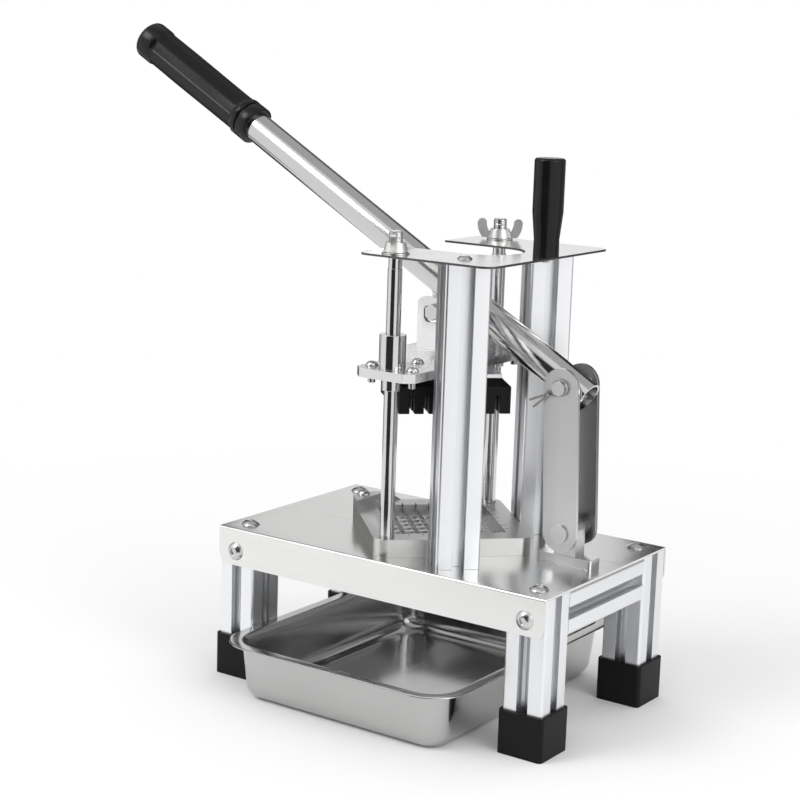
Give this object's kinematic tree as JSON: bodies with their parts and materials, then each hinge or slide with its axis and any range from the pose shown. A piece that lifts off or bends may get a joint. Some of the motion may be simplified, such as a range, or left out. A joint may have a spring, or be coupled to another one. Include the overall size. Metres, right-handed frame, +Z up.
{
  "type": "french fry cutter",
  "caption": "Lever-operated french fry cutter: a blade grid and finger pusher on a four-legged aluminium stand, with a steel catch tray underneath.",
  "frame": {"origin": "On the floor at the centre of the stand, under the middle of the four foot caps; the catch tray's underside lies in the same plane.", "axes": "+Z is up; +X runs along the stand away from the lever's grip; +Y points to the back, so -Y is the side with the hairpin clip and the side the tray slides out of."},
  "size_m": [0.4096, 0.228, 0.4429],
  "materials": {
    "rail": "satin anodised",
    "rubber": "matte black",
    "sheet": "brushed stainless",
    "fastener": "bright plated",
    "black_grip": "matte black",
    "rod": "ground and polished",
    "casting": "satin cast",
    "blade": "ground",
    "link": "brushed",
    "tube": "polished",
    "black_pusher": "matte black",
    "pan": "drawn stainless"
  },
  "bodies": {
    "frame": {"leg_front_left": "rail", "leg_front_right": "rail", "leg_rear_left": "rail", "leg_rear_right": "rail", "foot_cap_front_left": "rubber", "foot_cap_front_right": "rubber", "foot_cap_rear_left": "rubber", "foot_cap_rear_right": "rubber", "crossbar_left": "rail", "crossbar_right": "rail", "table_plate": "sheet", "table_bolts": "fastener", "flange_screws": "fastener", "column_front": "rail", "column_rear": "rail", "column_screws": "fastener", "head_plate": "sheet", "support_handle": "black_grip", "handle_screw": "fastener", "guide_rod_front": "rod", "guide_rod_rear": "rod", "rod_nuts": "fastener", "rod_washers": "fastener", "die_frame": "casting", "blades_lower": "blade", "blades_upper": "blade", "die_bolt": "fastener", "die_nut": "fastener", "base_bracket": "casting", "bracket_screws": "fastener", "foot_spacers": "fastener", "foot_pin": "fastener"},
    "link": {"link_plate_front": "link", "link_plate_rear": "link", "fulcrum_pin": "fastener", "hairpin_clip": "fastener"},
    "lever": {"lever_tube": "tube", "fulcrum_bush": "tube", "lever_lug": "tube", "lug_bolt": "fastener", "lug_nut": "fastener", "lever_grip": "black_grip"},
    "crosshead": {"crosshead_bar": "casting", "bushing_front": "rod", "bushing_rear": "rod", "bar_bolts": "fastener", "lever_clevis": "casting", "clevis_screws": "fastener", "pusher_plate": "casting", "pusher_screws": "fastener", "pusher_block": "black_pusher"},
    "wing_front": {"wing_nut_front": "fastener"},
    "wing_rear": {"wing_nut_rear": "fastener"},
    "tray": {"fry_tray": "pan"}
  },
  "joints": [
    {"name": "link_swing", "type": "hinge", "parent": "frame", "child": "link", "pos_m": [0.1, 0, 0.129], "axis": [0, 1, 0], "range_deg": [-1.8, 4.5]},
    {"name": "lever_swing", "type": "hinge", "parent": "link", "child": "lever", "pos_m": [0.096, 0, 0.224], "axis": [0, 1, 0], "range_deg": [-56, 22.2]},
    {"name": "crosshead_slide", "type": "slide", "parent": "frame", "child": "crosshead", "axis": [0, 0, 1], "range_m": [-0.0886, 0.0352]},
    {"name": "wing_front_turn", "type": "hinge", "parent": "frame", "child": "wing_front", "pos_m": [-0.002, -0.062, 0.31], "axis": [0, 0, 1], "continuous": true},
    {"name": "wing_rear_turn", "type": "hinge", "parent": "frame", "child": "wing_rear", "pos_m": [-0.002, 0.062, 0.31], "axis": [0, 0, 1], "continuous": true},
    {"name": "tray_slide", "type": "slide", "parent": "frame", "child": "tray", "axis": [0, -1, 0], "range_m": [0, 0.2]}
  ],
  "couplings": [
    {"joint": "link_swing", "follows": "lever_swing", "ratio": -0.08},
    {"joint": "crosshead_slide", "follows": "lever_swing", "m_per_rad": 0.0905}
  ]
}
